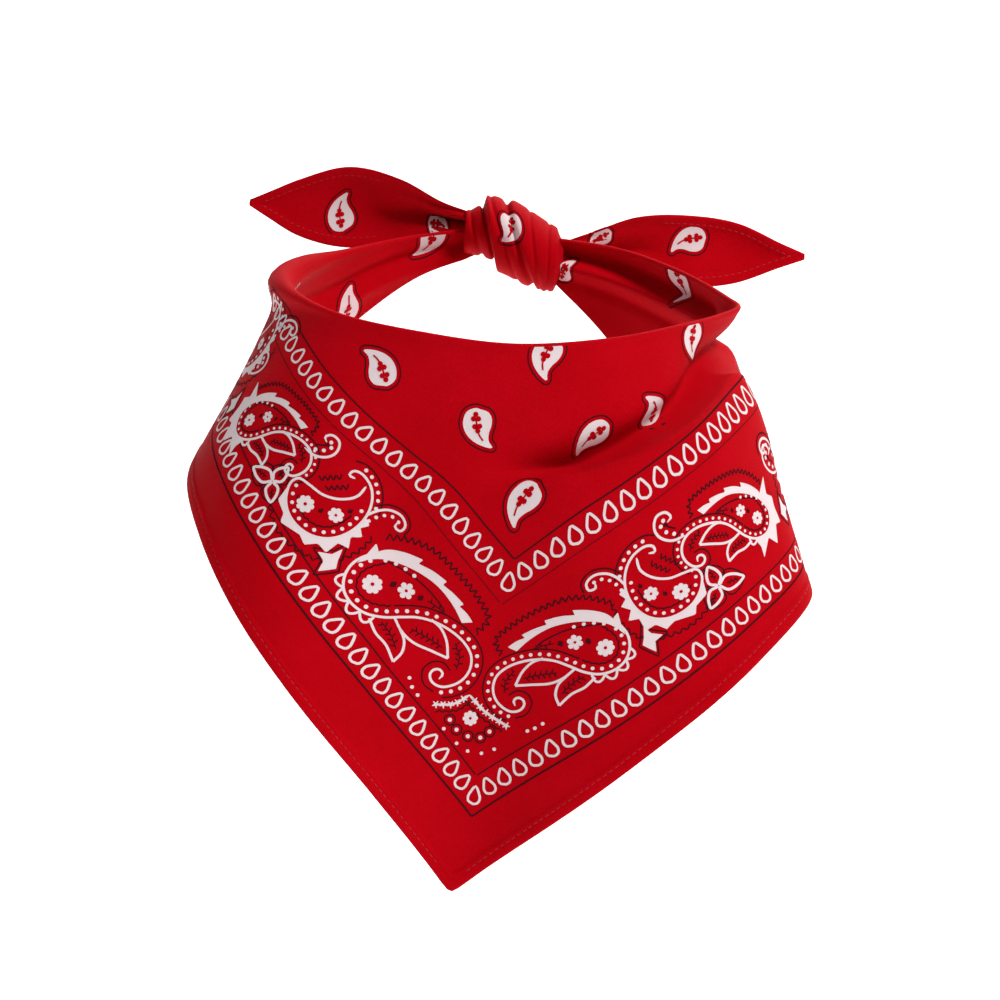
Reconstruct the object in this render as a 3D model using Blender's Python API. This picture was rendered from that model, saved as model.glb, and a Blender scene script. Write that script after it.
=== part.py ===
"""A printed cotton bandana, tied behind an open neck, with its point hanging in front.

Metres, +Z up. The wearer faces -Y, so the point hangs at -Y and the knot is at +Y.
The origin is the middle of the neck opening, level with its top edge.

Tables are in millimetres and degrees. Places on the cloth are given as "along", the distance
along the top edge from the middle of the front, and "down", the distance from the top edge.
"""

import math

import bpy
import numpy as np

MM = 0.001

# ---------------------------------------------------------------- driving dimensions
WALL = 1.5  # cloth with its turned edges, as one wall
SEAM_GAP = 0.3  # between neighbouring pieces
KNOT_GAP = 1.0  # from the knot to the slanting ends of the neck bands
POINT_ALONG = -6.5  # where the point hangs, along the top edge
POINT_DROP = 191.2  # top edge to the tip of the point
CLOTH_TURN = 5.1  # how far the square is turned from straight, in degrees
LEFT_SEAM = -116.0  # where the front drape becomes the left neck band
RIGHT_SEAM = 106.0  # where it turns the sharp corner into the right one
HEM_WIDTH = 5.0
HEM_WALL = 1.0
HEM_CLEAR = 5.0  # from the tip to the start of each turned hem
HEM_FROM, HEM_TO = -98.0, 98.0  # how far the turned hems run along the top edge
DRAPE_CELL = 7.0  # width of the facets of the drape and bands
DRAPE_ROWS = 17  # rows of points from the top edge to the turned hem, on each of them
TAIL_CELLS = 12  # facets along a tail
SIDES_OF_KNOT = 18

# The top edge, from the knot round the left side, the front and the right side to the knot.
# x y z: the edge; flare: how far the cloth leans out; drop: most cloth below the edge;
# roll: radius of the soft roll along the edge
EDGE_COLUMNS = ("x", "y", "z", "flare", "drop", "roll")
TOP_EDGE = {
    "knot_left": (-12, 62, 17, 0, 12, 1.0),
    "back_left_2": (-36, 57, 13, 2, 18, 1.0),
    "back_left_1": (-61, 38, 8, 10.0, 36, 1.6),
    "side_left_2": (-74.5, 15, 6, 16.9, 62, 2.6),
    "side_left_1": (-79.5, -5, 4, 21.4, 90, 2.8),
    "front_left_3": (-74.7, -24, 4, 27.5, 130, 1.8),
    "front_left_2": (-57, -43, 2, 26.3, 300, 1.0),
    "front_left_1": (-28, -54, 0, 12.2, 300, 1.0),
    "front_mid": (4, -57, -1, 7.6, 300, 1.0),
    "front_right_1": (36, -50, 2, 16.4, 300, 1.0),
    "front_right_2": (60, -33, 5, 26.8, 300, 1.0),
    "front_right_3": (76, -12, 6, 28.5, 300, 1.0),
    "corner_right": (83, 2, 7, 12.0, 150, 1.0),
    "side_right": (80, 10, 8, 19.8, 110, 1.0),
    "back_right_1": (62, 34, 12, 10.2, 66, 1.0),
    "back_right_2": (40, 52, 15, 2, 39, 1.0),
    "knot_right": (16, 58, 16, 0, 20, 1.0),
}
EDGE_FLARE_SHARE = 0.6  # share of the flare right at the edge
FULL_FLARE_DOWN = 15.0  # depth where the flare is whole
LOW_FLARE_SHARE = 0.9  # share of it at LOW_FLARE_DOWN and below
LOW_FLARE_DOWN = 120.0
EDGE_SMOOTHING = 6.0  # how softly the fall of the cloth follows the edge's turns

# Large folds: the crease line as (along, down) points, the depth of the trough above it, the
# swell below it, and the half widths of both
FOLD_COLUMNS = ("crease", "trough", "trough_width", "swell", "swell_width")
FOLDS = {
    "cowl": (((4, 47), (20, 45), (40, 39), (62, 29), (84, 18)), 3.5, 11.0, 3.5, 20.0),
    "corner": (((78, 19), (96, 21), (118, 19)), 6.0, 17.0, 0.0, 10.0),
    "right_band": (((130, 6), (158, 8), (180, 7)), 2.5, 5.0, -3.0, 8.0),
}
FOLD_FADE = 38.0  # length over which a fold dies out at its ends

# The knot: sections along its axis. x z: centre; half_high, half_deep: half sizes
KNOT_BACK = 62.0  # how far behind the middle of the neck it sits
KNOT_COLUMNS = ("x", "z", "half_high", "half_deep")
KNOT = (
    (-17.5, 16.0, 8.5, 7.0),
    (-15.0, 16.3, 10.8, 10.0),
    (-9.9, 17.0, 12.4, 12.0),
    (-1.0, 14.5, 12.9, 13.0),
    (6.0, 11.3, 12.5, 13.0),
    (12.0, 9.3, 11.4, 12.5),
    (17.0, 8.0, 10.0, 10.0),
    (19.5, 7.8, 7.5, 7.5),
)

# The tails: sections from the knot to the tip. x y z: centre; half: half width;
# tilt: how far the cloth leans back at the top, in degrees; cup: depth of the hollow in front
TAIL_COLUMNS = ("x", "y", "z", "half", "tilt", "cup")
TAILS = {
    "tail_left": (
        (-18.2, 66, 18.5, 4.5, 0, 2.0),
        (-27, 68.5, 18.7, 6.5, 2, 4.0),
        (-43, 73, 19.6, 12, 8, 6.0),
        (-63, 78, 18.8, 15, 10, 4.0),
        (-81, 82, 16.8, 10.5, 10, 2.0),
        (-92, 84.5, 16.4, 5.2, 8, 1.0),
        (-100, 86, 16.3, 1.2, 6, 0.3),
    ),
    "tail_right": (
        (20.2, 65.5, 10.4, 3.8, 0, 1.5),
        (30, 68, 11.2, 7.2, 2, 4.0),
        (46, 72.5, 12.4, 12, 8, 6.0),
        (66, 78, 12.2, 13.3, 10, 4.0),
        (85, 82, 12.2, 11.2, 10, 2.0),
        (102, 84, 12.3, 4.5, 8, 1.0),
        (111, 85, 12.4, 1.2, 6, 0.3),
    ),
}

COLOURS = {
    "red": ((0.58, 0.004, 0.014, 1.0), 0.85),
    "deep_red": ((0.45, 0.003, 0.012, 1.0), 0.85),
}


# ---------------------------------------------------------------- curves
def through(rows, steps=16):
    """A smooth curve through the rows of a table, as centripetal Catmull-Rom stretches."""
    rows = np.asarray(rows, float)
    ends = np.vstack([2 * rows[0] - rows[1], rows, 2 * rows[-1] - rows[-2]])
    out = []
    for before, start, end, after in zip(ends, ends[1:], ends[2:], ends[3:]):
        knots = [0.0]
        for one, two in ((before, start), (start, end), (end, after)):
            knots.append(knots[-1] + math.sqrt(np.linalg.norm((two - one)[:3])))
        t0, t1, t2, t3 = knots
        t = np.linspace(t1, t2, steps, endpoint=False)[:, None]
        a1 = ((t1 - t) * before + (t - t0) * start) / (t1 - t0)
        a2 = ((t2 - t) * start + (t - t1) * end) / (t2 - t1)
        a3 = ((t3 - t) * end + (t - t2) * after) / (t3 - t2)
        b1 = ((t2 - t) * a1 + (t - t0) * a2) / (t2 - t0)
        b2 = ((t3 - t) * a2 + (t - t1) * a3) / (t3 - t1)
        out.append(((t2 - t) * b1 + (t - t1) * b2) / (t2 - t1))
    return np.vstack(out + [rows[-1:]])


def lengths(points):
    """Distance travelled along a line of points."""
    return np.r_[0, np.cumsum(np.linalg.norm(np.diff(points, axis=0), axis=1))]


def smooth_step(x):
    x = np.clip(x, 0.0, 1.0)
    return x * x * (3 - 2 * x)


# ---------------------------------------------------------------- the draped cloth
class Drape:
    """The cloth round the neck, as a function of (along, down)."""

    def __init__(self):
        names = list(TOP_EDGE)
        steps = 16
        curve = through(list(TOP_EDGE.values()), steps)
        travelled = lengths(curve[:, :3])
        travelled -= travelled[names.index("front_mid") * steps]
        self.along = np.arange(math.ceil(travelled[0]), math.floor(travelled[-1]) + 1.0)
        columns = [np.interp(self.along, travelled, column) for column in curve.T]
        self.edge = dict(zip(EDGE_COLUMNS, columns))
        heading = np.unwrap(np.arctan2(np.gradient(columns[1]), np.gradient(columns[0])))
        reach = np.arange(-20, 21)
        kernel = np.exp(-0.5 * (reach / EDGE_SMOOTHING) ** 2)
        padded = np.pad(heading, 20, mode="edge")
        self.heading = np.convolve(padded, kernel / kernel.sum(), "valid")
        self.lay_flat()

    def lay_flat(self):
        """The same cloth spread flat: each fall line turns from the last by what its flare opens."""
        turning = np.gradient(self.heading) * np.sin(np.radians(self.edge["flare"]))
        fan = np.cumsum(turning)
        middle = np.argmin(abs(self.along))
        fan += math.radians(CLOTH_TURN) - fan[middle]
        flat_edge = np.cumsum(np.stack([np.cos(fan), np.sin(fan)], 1), axis=0)
        self.fall = np.stack([np.sin(fan), -np.cos(fan)], 1)
        point = np.argmin(abs(self.along - POINT_ALONG))
        self.flat_edge = flat_edge - flat_edge[point] - POINT_DROP * self.fall[point]

    def read(self, values, along):
        return np.interp(along, self.along, values)

    def ends_at(self, left, right):
        """Where the edge comes to these sides of the knot."""
        near = 60
        x = self.edge["x"]
        start = np.interp(left, x[near::-1], self.along[near::-1])
        end = np.interp(-right, -x[-near:], self.along[-near:])
        return start, end

    def hem(self, along):
        """Cloth from the top edge to the hem: to the square's edges, and less on the neck bands."""
        across, up = (self.read(self.flat_edge[:, i], along) for i in (0, 1))
        fall_across, fall_up = (self.read(self.fall[:, i], along) for i in (0, 1))
        to_left_edge = -(across + up) / (fall_across + fall_up)
        to_right_edge = (across - up) / (fall_up - fall_across)
        far = 1e6
        to_left_edge = np.where(to_left_edge > 0, to_left_edge, far)
        to_right_edge = np.where(to_right_edge > 0, to_right_edge, far)
        to_edge = np.minimum(to_left_edge, to_right_edge)
        band = self.read(self.edge["drop"], along)
        soft = 4.0
        least = np.minimum(to_edge, band)
        share = np.exp((least - to_edge) / soft) + np.exp((least - band) / soft)
        return least - soft * np.log(share)

    def flare_at(self, along, down):
        full = self.read(self.edge["flare"], along)
        opening = smooth_step(down / FULL_FLARE_DOWN)
        easing = smooth_step((down - FULL_FLARE_DOWN) / (LOW_FLARE_DOWN - FULL_FLARE_DOWN))
        share = EDGE_FLARE_SHARE + (1 - EDGE_FLARE_SHARE) * opening
        return np.radians(full * (share - (1 - LOW_FLARE_SHARE) * easing))

    def fold(self, along, down):
        """How far the large folds push the cloth out."""
        push = np.zeros(np.shape(along))
        for fold in (dict(zip(FOLD_COLUMNS, row)) for row in FOLDS.values()):
            crease = through(fold["crease"], 8)
            line = np.interp(along, crease[:, 0], crease[:, 1])
            first, last = crease[0, 0], crease[-1, 0]
            start = smooth_step((along - first + FOLD_FADE) / FOLD_FADE)
            end = smooth_step((last + FOLD_FADE - along) / FOLD_FADE)
            below = down - line
            trough = np.exp(-((below / fold["trough_width"]) ** 2))
            swell_at = below / fold["swell_width"]
            swell = np.where(below > 0, swell_at * np.exp(1 - np.maximum(swell_at, 0)), 0)
            push += start * end * (fold["swell"] * swell - fold["trough"] * trough)
        return push

    def point(self, along, down):
        along, down = np.broadcast_arrays(np.asarray(along, float), np.asarray(down, float))
        steps = 40
        out = np.zeros(along.shape)
        sunk = np.zeros(along.shape)
        for step in range(steps):
            lean = self.flare_at(along, down * (step + 0.5) / steps)
            out += np.sin(lean) * down / steps
            sunk += np.cos(lean) * down / steps
        out = out + self.fold(along, down)
        heading = self.read(self.heading, along)
        x = self.read(self.edge["x"], along) + np.sin(heading) * out
        y = self.read(self.edge["y"], along) - np.cos(heading) * out
        z = self.read(self.edge["z"], along) - sunk
        return np.stack([x, y, z], -1)

    def normal(self, along, down, reach=1.5):
        """The outward normal, the same for both pieces at a seam."""
        across = self.point(along + reach, down) - self.point(along - reach, down)
        falling = self.point(along, down + reach) - self.point(along, down - reach)
        normal = np.cross(falling, across)
        return normal / np.linalg.norm(normal, axis=-1, keepdims=True)


def grid_normals(grid):
    across = np.gradient(grid, axis=0)
    down = np.gradient(grid, axis=1)
    normal = np.cross(down, across)
    return normal / np.linalg.norm(normal, axis=-1, keepdims=True)


# ---------------------------------------------------------------- closed walls
def add_object(name, vertices, faces, finish):
    mesh = bpy.data.meshes.new(name)
    mesh.from_pydata([tuple(v) for v in np.asarray(vertices) * MM], [], faces)
    mesh.update()
    mesh.shade_smooth()
    colour, roughness = COLOURS[finish]
    material = bpy.data.materials.get(finish) or bpy.data.materials.new(finish)
    material.use_nodes = True
    shader = material.node_tree.nodes["Principled BSDF"]
    shader.inputs["Base Color"].default_value = colour
    shader.inputs["Roughness"].default_value = roughness
    mesh.materials.append(material)
    obj = bpy.data.objects.new(name, mesh)
    bpy.context.scene.collection.objects.link(obj)
    return obj


def tube(name, rings, finish):
    """A closed skin over a row of rings, its two ends filled; rings run the same way round."""
    rings = np.asarray(rings)
    count, around = rings.shape[:2]
    faces = []
    for i in range(count - 1):
        for j in range(around):
            k = (j + 1) % around
            low, high = i * around, (i + 1) * around
            faces.append((low + j, low + k, high + k, high + j))
    faces.append(tuple(range(around))[::-1])
    faces.append(tuple((count - 1) * around + j for j in range(around)))
    return add_object(name, rings.reshape(-1, 3), faces, finish)


def wall_rings(grid, normal, half, roll=None):
    """Rings round a wall: down its outer face, up its inner face and over the top edge."""
    half = np.broadcast_to(np.asarray(half, float), grid.shape[:2])[..., None]
    outer, inner = grid + normal * half, grid - normal * half
    parts = [outer, inner[:, ::-1]]
    if roll is not None:
        up = grid[:, 0] - grid[:, 1]
        up /= np.linalg.norm(up, axis=-1, keepdims=True)
        caps = []
        for turn in np.radians((150, 110, 70, 30)):
            side = normal[:, 0] * math.cos(turn) + up * math.sin(turn)
            caps.append(grid[:, 0] + side * roll[:, None])
        parts.append(np.stack(caps, 1))
    return np.concatenate(parts, axis=1)


def drape_grid(drape, start, end):
    """Points of a stretch of the cloth; the last two rows mark the turned hem."""
    columns = max(3, round((end - start) / DRAPE_CELL)) + 1
    along = np.linspace(start, end, columns)
    if start < POINT_ALONG < end:
        along[np.argmin(abs(along - POINT_ALONG))] = POINT_ALONG
    hem = drape.hem(along)
    body = (hem - HEM_WIDTH * math.sqrt(2))[:, None] * np.linspace(0, 1, DRAPE_ROWS)
    down = np.concatenate([body, hem[:, None]], axis=1)
    return along, down, drape.point(along[:, None], down), drape.normal(along[:, None], down)


def drape_piece(name, drape, along, down, grid, normal):
    """A stretch of the cloth round the neck, from one seam to the next."""
    roll = drape.read(drape.edge["roll"], along)
    spread = np.exp(-((down / (1.2 * roll[:, None])) ** 2))
    half = WALL / 2 + (roll[:, None] - WALL / 2) * spread
    return tube(name, wall_rings(grid, normal, half, roll), "red")


def hem_strip(name, along, grid, normal, start, end):
    """The turned hem, lying on the inner side of the cloth along one edge of the point."""
    kept = (along >= start) & (along <= end)
    normal = normal[kept][:, -2:]
    inward = WALL / 2 + SEAM_GAP + HEM_WALL / 2
    strip = grid[kept][:, -2:] - normal * inward
    return tube(name, wall_rings(strip, normal, HEM_WALL / 2), "deep_red")


# ---------------------------------------------------------------- knot and tails
def knot():
    sections = through([(row[0], KNOT_BACK, *row[1:]) for row in KNOT], 2)
    angles = np.linspace(0, 2 * math.pi, SIDES_OF_KNOT, endpoint=False)
    rings = []
    for x, y, z, half_high, half_deep in sections:
        depth = y - half_deep * np.sin(angles)
        height = z + half_high * np.cos(angles)
        rings.append(np.stack([np.full(angles.shape, x), depth, height], 1))
    return tube("knot", rings, "red")


def tail(name, rows):
    """A leaf of cloth: a wall across each section, cupped towards the front."""
    sections = through(rows, TAIL_CELLS // (len(rows) - 1) + 1)
    across = np.linspace(1, -1, 9)
    grid = []
    for x, y, z, half, tilt, cup in sections:
        lean = math.radians(tilt)
        height = half * across
        back = cup * (1 - across**2) + height * math.sin(lean)
        grid.append(np.stack([np.full(9, x), y + back, z + height * math.cos(lean)], 1))
    grid = np.array(grid)
    if name == "tail_left":
        grid = grid[::-1]
    return tube(name, wall_rings(grid, grid_normals(grid), WALL / 2), "red")


def clear_scene():
    for obj in list(bpy.data.objects):
        bpy.data.objects.remove(obj, do_unlink=True)


def main():
    clear_scene()
    drape = Drape()
    gap = SEAM_GAP / 2
    first, last = drape.ends_at(KNOT[0][0] - KNOT_GAP, KNOT[-1][0] + KNOT_GAP)
    drape_piece("neck_band_left", drape, *drape_grid(drape, first, LEFT_SEAM - gap))
    drape_piece("neck_band_right", drape, *drape_grid(drape, RIGHT_SEAM + gap, last))
    along, down, front, normal = drape_grid(drape, LEFT_SEAM + gap, RIGHT_SEAM - gap)
    drape_piece("front_drape", drape, along, down, front, normal)
    hem_strip("hem_left", along, front, normal, HEM_FROM, POINT_ALONG - HEM_CLEAR)
    hem_strip("hem_right", along, front, normal, POINT_ALONG + HEM_CLEAR, HEM_TO)
    knot()
    for name, rows in TAILS.items():
        tail(name, rows)


main()
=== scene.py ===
"""A printed cotton bandana tied round an open neck, dressed over its CAD frame.

Tables are in millimetres and degrees. Places on the cloth round the neck are "along" the folded
top edge from the middle of the front, and "down" from that edge. Places on the print are "run",
the distance along the cut edge from the tip of the point, and "rise", the distance in from it.
"""

import math

import bpy
import numpy as np
from mathutils import Matrix, Vector
from mathutils.geometry import delaunay_2d_cdt


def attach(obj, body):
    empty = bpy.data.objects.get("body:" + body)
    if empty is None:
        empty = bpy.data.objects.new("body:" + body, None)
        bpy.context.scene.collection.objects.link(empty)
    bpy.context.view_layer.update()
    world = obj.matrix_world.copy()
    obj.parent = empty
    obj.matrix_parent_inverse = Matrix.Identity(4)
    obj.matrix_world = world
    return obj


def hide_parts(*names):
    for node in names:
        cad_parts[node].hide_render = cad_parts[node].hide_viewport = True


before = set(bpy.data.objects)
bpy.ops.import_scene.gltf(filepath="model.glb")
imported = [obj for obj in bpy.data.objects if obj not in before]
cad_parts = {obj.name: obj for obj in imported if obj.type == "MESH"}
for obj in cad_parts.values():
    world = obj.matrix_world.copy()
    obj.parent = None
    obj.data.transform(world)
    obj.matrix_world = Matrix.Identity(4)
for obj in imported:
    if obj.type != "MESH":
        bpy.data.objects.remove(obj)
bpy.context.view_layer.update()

MM = 0.001

# ---------------------------------------------------------------- cloth
THICK = 0.8  # the folded double cloth
HEM_WIDTH = 4.2
HEM_EXTRA = 0.35  # how much thicker the turned hem is on each face
STITCH_IN = 3.1  # stitch line, in from the hem's edge
STITCH_LONG, STITCH_GAP, STITCH_THICK = 1.9, 0.6, 0.30
HEM_ROWS = (4.6, 4.2, 3.6, 3.1, 2.6, 1.6, 0.7, 0.2, 0.0)  # rows of points over the hem
HEM_RISE = (0.0, 1.0, 1.0, 0.45, 1.0, 1.05, 0.95, 0.5, -0.2)  # share of its thickness on each
CELL = 1.6  # width of the facets
ROWS = 96

POINT_ALONG = -6.5
POINT_DROP = 191.2
CLOTH_TURN = 5.1
TIP_SOFT = 1.6  # how round the tip is
HEM_FROM, HEM_TO = -104.0, 104.0

EDGE_COLUMNS = ("x", "y", "z", "flare", "drop", "roll")
TOP_EDGE = {
    "knot_left": (-12, 62, 17, 0, 9, 1.0),
    "back_left_2": (-36, 57, 13, 2, 16, 1.0),
    "back_left_1": (-61, 38, 8, 10.0, 36, 2.0),
    "side_left_2": (-74.5, 15, 6, 16.9, 62, 4.5),
    "side_left_1": (-79.5, -5, 4, 21.4, 90, 5.0),
    "front_left_3": (-74.7, -24, 4, 27.5, 130, 2.5),
    "front_left_2": (-57, -43, 2, 26.3, 300, 1.0),
    "front_left_1": (-28, -54, 0, 12.2, 300, 1.0),
    "front_mid": (4, -57, -1, 7.6, 300, 1.0),
    "front_right_1": (36, -50, 2, 16.4, 300, 1.0),
    "front_right_2": (60, -33, 5, 26.8, 300, 1.0),
    "front_right_3": (76, -12, 6, 28.5, 300, 1.0),
    "corner_right": (83, 2, 7, 12.0, 150, 1.0),
    "side_right": (80, 10, 8, 19.8, 110, 1.0),
    "back_right_1": (62, 34, 12, 10.2, 66, 1.0),
    "back_right_2": (40, 52, 15, 2, 36, 1.0),
    "knot_right": (14, 59, 16, 0, 13, 1.0),
}
EDGE_FLARE_SHARE, FULL_FLARE_DOWN = 0.6, 15.0
LOW_FLARE_SHARE, LOW_FLARE_DOWN = 0.9, 120.0
EDGE_SMOOTHING = 6.0
KNOT_LEFT, KNOT_RIGHT = -13.5, 15.5  # where the bands go into the knot

# Folds: a line of (along, down) points, how far it pushes the cloth out and up, its half widths
# above and below the line, and how gently it starts and ends
FOLDS = {  # line, push, lift, above, below, fade_in, fade_out
    "cowl_valley": (((24, 43), (40, 38), (62, 29), (84, 18), (112, 13)), -9.0, 0.0, 8.0, 2.8, 34, 16),
    "cowl_lip": (((24, 49), (40, 44), (62, 35.5), (82, 26)), 3.4, 5.6, 3.0, 22.0, 34, 18),
    "cowl_swell": (
        ((-10, 68), (20, 64), (42, 58), (64, 48), (86, 37), (100, 32)), 3.0, 0.0, 15.0, 26.0, 30, 30
    ),
    "corner_hollow": (((78, 19), (96, 21), (118, 19)), -5.0, 0.0, 13.0, 22.3, 30, 30),
    "right_valley": (((130, 8.4), (150, 8.8), (194, 5.4)), 3.4, 0.0, 4.0, 1.5, 26, 4),
    "right_ridge": (((130, 12.4), (150, 12.6), (194, 9.0)), -3.8, 0.0, 1.7, 6.5, 26, 4),
    "right_low": (((150, 20), (194, 13)), 2.0, 0.0, 3.0, 3.0, 26, 4),
    "left_fold": (((-208, 5), (-180, 8), (-150, 14)), 2.2, 0.0, 2.6, 3.4, 4, 30),
    "left_ridge": (((-208, 9), (-180, 14), (-150, 24)), -1.8, 0.0, 3.0, 4.0, 4, 30),
    "low_left": (((-80, 60), (-60, 90), (-35, 120)), 2.2, 0.0, 16.0, 18.0, 30, 30),
    "low_right": (((60, 92), (40, 118), (22, 140)), -1.6, 0.0, 14.0, 16.0, 30, 30),
}


def through(rows, steps=16):
    """A smooth curve through the rows of a table."""
    rows = np.asarray(rows, float)
    ends = np.vstack([2 * rows[0] - rows[1], rows, 2 * rows[-1] - rows[-2]])
    out = []
    for before, start, end, after in zip(ends, ends[1:], ends[2:], ends[3:]):
        knots = [0.0]
        for one, two in ((before, start), (start, end), (end, after)):
            knots.append(knots[-1] + math.sqrt(np.linalg.norm((two - one)[:3])) + 1e-9)
        t0, t1, t2, t3 = knots
        t = np.linspace(t1, t2, steps, endpoint=False)[:, None]
        a1 = ((t1 - t) * before + (t - t0) * start) / (t1 - t0)
        a2 = ((t2 - t) * start + (t - t1) * end) / (t2 - t1)
        a3 = ((t3 - t) * end + (t - t2) * after) / (t3 - t2)
        b1 = ((t2 - t) * a1 + (t - t0) * a2) / (t2 - t0)
        b2 = ((t3 - t) * a2 + (t - t1) * a3) / (t3 - t1)
        out.append(((t2 - t) * b1 + (t - t1) * b2) / (t2 - t1))
    return np.vstack(out + [rows[-1:]])


def lengths(points):
    return np.r_[0, np.cumsum(np.linalg.norm(np.diff(points, axis=0), axis=1))]


def read_rows(places, at, rows):
    """Every column of the rows, read at the places."""
    return np.stack([np.interp(places, at, column) for column in rows.T], -1)


def unit(vectors):
    return vectors / np.linalg.norm(vectors, axis=-1, keepdims=True)


def on_circle(turn):
    return np.stack([np.cos(turn), np.sin(turn)], -1)


def turned(points, turn):
    x, y = np.asarray(points, float).T
    c, s = math.cos(turn), math.sin(turn)
    return np.stack([c * x - s * y, s * x + c * y], -1)


def smooth_step(x):
    x = np.clip(x, 0.0, 1.0)
    return x * x * (3 - 2 * x)


class Drape:
    """The cloth round the neck, as a function of (along, down)."""

    def __init__(self):
        names, steps = list(TOP_EDGE), 16
        curve = through(list(TOP_EDGE.values()), steps)
        travelled = lengths(curve[:, :3])
        travelled -= travelled[names.index("front_mid") * steps]
        self.along = np.arange(math.ceil(travelled[0]), math.floor(travelled[-1]) + 1.0)
        columns = [np.interp(self.along, travelled, column) for column in curve.T]
        self.edge = dict(zip(EDGE_COLUMNS, columns))
        heading = np.unwrap(np.arctan2(np.gradient(columns[1]), np.gradient(columns[0])))
        reach = np.arange(-20, 21)
        kernel = np.exp(-0.5 * (reach / EDGE_SMOOTHING) ** 2)
        self.heading = np.convolve(np.pad(heading, 20, mode="edge"), kernel / kernel.sum(), "valid")
        turning = np.gradient(self.heading) * np.sin(np.radians(self.edge["flare"]))
        fan = np.cumsum(turning)
        fan += math.radians(CLOTH_TURN) - fan[np.argmin(abs(self.along))]
        flat_edge = np.cumsum(np.stack([np.cos(fan), np.sin(fan)], 1), axis=0)
        self.fall = np.stack([np.sin(fan), -np.cos(fan)], 1)
        point = np.argmin(abs(self.along - POINT_ALONG))
        self.flat_edge = flat_edge - flat_edge[point] - POINT_DROP * self.fall[point]
        self.creases = [(through(row[0], 8), *row[1:]) for row in FOLDS.values()]
        near = 60  # the steps at each end within which the bands reach the knot
        x = self.edge["x"]
        self.first = np.interp(KNOT_LEFT, x[near::-1], self.along[near::-1])
        self.last = np.interp(-KNOT_RIGHT, -x[-near:], self.along[-near:])

    def read(self, values, along):
        return np.interp(along, self.along, values)

    def flat(self, along, down):
        """Where a place on the cloth lies on the flat square: across and up from the tip."""
        return [
            self.read(self.flat_edge[:, i], along) + down * self.read(self.fall[:, i], along)
            for i in (0, 1)
        ]

    def place(self, across, up):
        """The place on the draped cloth of a place on the flat square."""
        along = np.empty(len(across))
        edge, fall, step = self.flat_edge[::2], self.fall[::2], self.along[::2]
        for part in np.array_split(np.arange(len(across)), max(1, len(across) // 20000)):
            side = np.multiply.outer(across[part], fall[:, 1]) - np.multiply.outer(up[part], fall[:, 0])
            side -= edge[:, 0] * fall[:, 1] - edge[:, 1] * fall[:, 0]
            # the fall line that passes through the place, nearest the middle of the front
            turns = side[:, :-1] * side[:, 1:] <= 0
            cost = np.where(turns, abs(step[:-1]), 1e6)
            k = np.argmin(cost, axis=1)
            row = np.arange(len(part))
            share = side[row, k] / (side[row, k] - side[row, k + 1] + 1e-12)
            along[part] = step[k] + np.clip(share, 0, 1) * 2
        start = [self.read(self.flat_edge[:, i], along) for i in (0, 1)]
        fall_line = [self.read(self.fall[:, i], along) for i in (0, 1)]
        down = (across - start[0]) * fall_line[0] + (up - start[1]) * fall_line[1]
        return along, down

    def hem(self, along):
        """Cloth from the top edge to the hem."""
        across, up = (self.read(self.flat_edge[:, i], along) for i in (0, 1))
        fall_across, fall_up = (self.read(self.fall[:, i], along) for i in (0, 1))
        to_left = -(across + up) / (fall_across + fall_up)
        to_right = (across - up) / (fall_up - fall_across)
        to_left = np.where(to_left > 0, to_left, 1e6)
        to_right = np.where(to_right > 0, to_right, 1e6)
        to_edge = soft_least(to_left, to_right, TIP_SOFT)
        return soft_least(to_edge, self.read(self.edge["drop"], along), 4.0)

    def flare_at(self, along, down):
        full = self.read(self.edge["flare"], along)
        opening = smooth_step(down / FULL_FLARE_DOWN)
        easing = smooth_step((down - FULL_FLARE_DOWN) / (LOW_FLARE_DOWN - FULL_FLARE_DOWN))
        share = EDGE_FLARE_SHARE + (1 - EDGE_FLARE_SHARE) * opening
        return np.radians(full * (share - (1 - LOW_FLARE_SHARE) * easing))

    def fold(self, along, down):
        """How far the folds push the cloth out, and how far they lift it."""
        push, lift = np.zeros(np.shape(along)), np.zeros(np.shape(along))
        for line, out, up, above, below, fade_in, fade_out in self.creases:
            start = smooth_step((along - line[0, 0] + fade_in) / fade_in)
            end = smooth_step((line[-1, 0] + fade_out - along) / fade_out)
            off = down - np.interp(along, line[:, 0], line[:, 1])
            share = start * end * np.exp(-((off / np.where(off < 0, above, below)) ** 2))
            push += out * share
            lift += up * share
        ripple = np.sin(along / 17 + 1.3 * np.sin(down / 31)) * np.sin(down / 23 + along / 41)
        return push + 0.5 * ripple * smooth_step(down / 30), lift

    def point(self, along, down):
        along, down = np.broadcast_arrays(np.asarray(along, float), np.asarray(down, float))
        steps = 24
        out, sunk = np.zeros(along.shape), np.zeros(along.shape)
        for step in range(steps):
            lean = self.flare_at(along, down * (step + 0.5) / steps)
            out += np.sin(lean) * down / steps
            sunk += np.cos(lean) * down / steps
        push, lift = self.fold(along, down)
        out, sunk = out + push, sunk - lift
        heading = self.read(self.heading, along)
        x = self.read(self.edge["x"], along) + np.sin(heading) * out
        y = self.read(self.edge["y"], along) - np.cos(heading) * out
        return np.stack([x, y, self.read(self.edge["z"], along) - sunk], -1)

    def normal(self, along, down, reach=0.8):
        across = self.point(along + reach, down) - self.point(along - reach, down)
        falling = self.point(along, down + reach) - self.point(along, down - reach)
        return unit(np.cross(falling, across))

    def half(self, along, down):
        """Half the cloth's thickness, with the soft roll along its folded top edge."""
        roll = self.read(self.edge["roll"], along)
        spread = np.exp(-((down / (1.2 * roll)) ** 2))
        return THICK / 2 + (roll - THICK / 2) * spread


def soft_least(one, two, soft):
    least = np.minimum(one, two)
    share = np.exp((least - one) / soft) + np.exp((least - two) / soft)
    return least - soft * np.log(share)


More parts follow.
